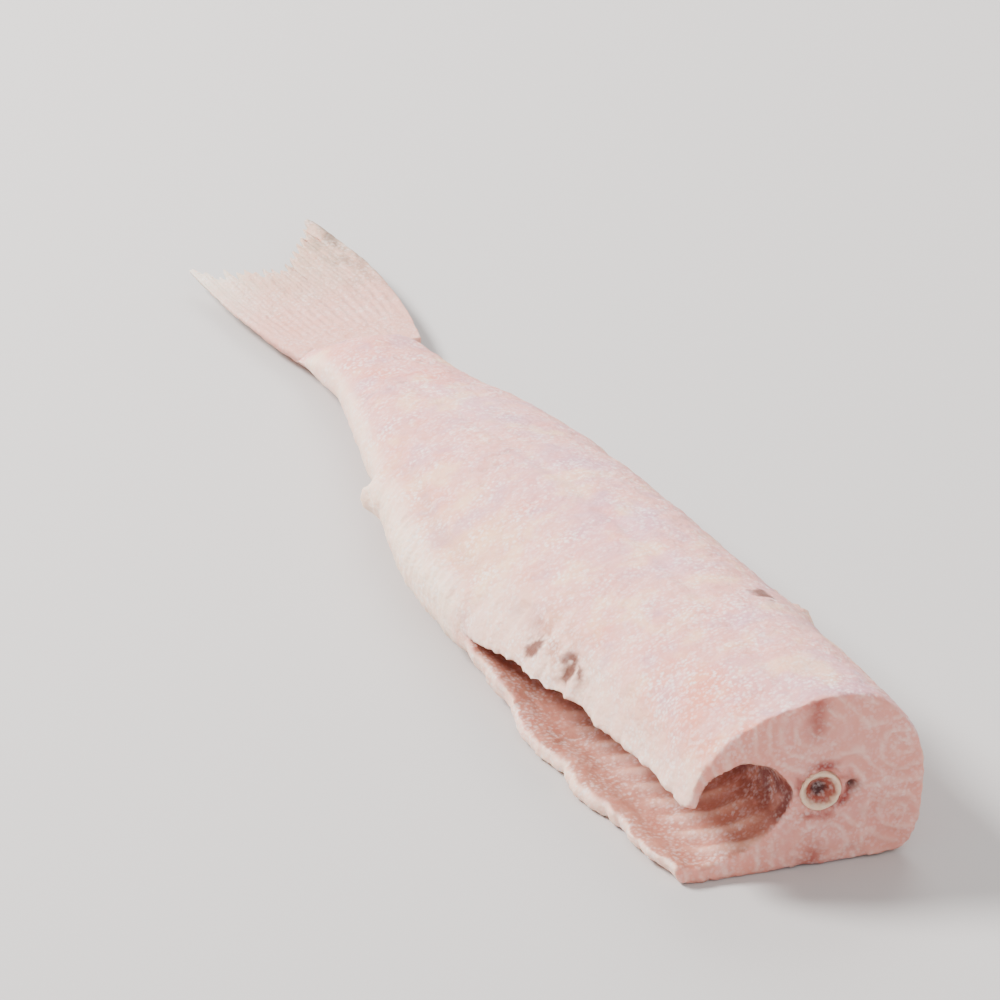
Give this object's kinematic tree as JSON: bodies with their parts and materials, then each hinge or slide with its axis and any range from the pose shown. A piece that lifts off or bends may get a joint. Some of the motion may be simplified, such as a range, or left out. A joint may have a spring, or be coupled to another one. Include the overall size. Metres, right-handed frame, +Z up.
{
  "type": "dressed catfish",
  "caption": "Whole dressed catfish, frozen: headless, gutted and skinned, with the tail fin left on, lying on its left flank.",
  "frame": {"origin": "middle of the fish's footprint, on the surface that it rests on", "axes": "+X along the backbone out of the neck cut, +Y towards the back, +Z up through the right flank"},
  "size_m": [0.2998, 0.0584, 0.0375],
  "materials": {
    "flesh": null,
    "fin": "frozen skinned fin, thin and slightly translucent, greyer towards its ragged tips"
  },
  "bodies": {
    "root": {"body": "flesh", "tail_fin": "fin"}
  },
  "joints": []
}
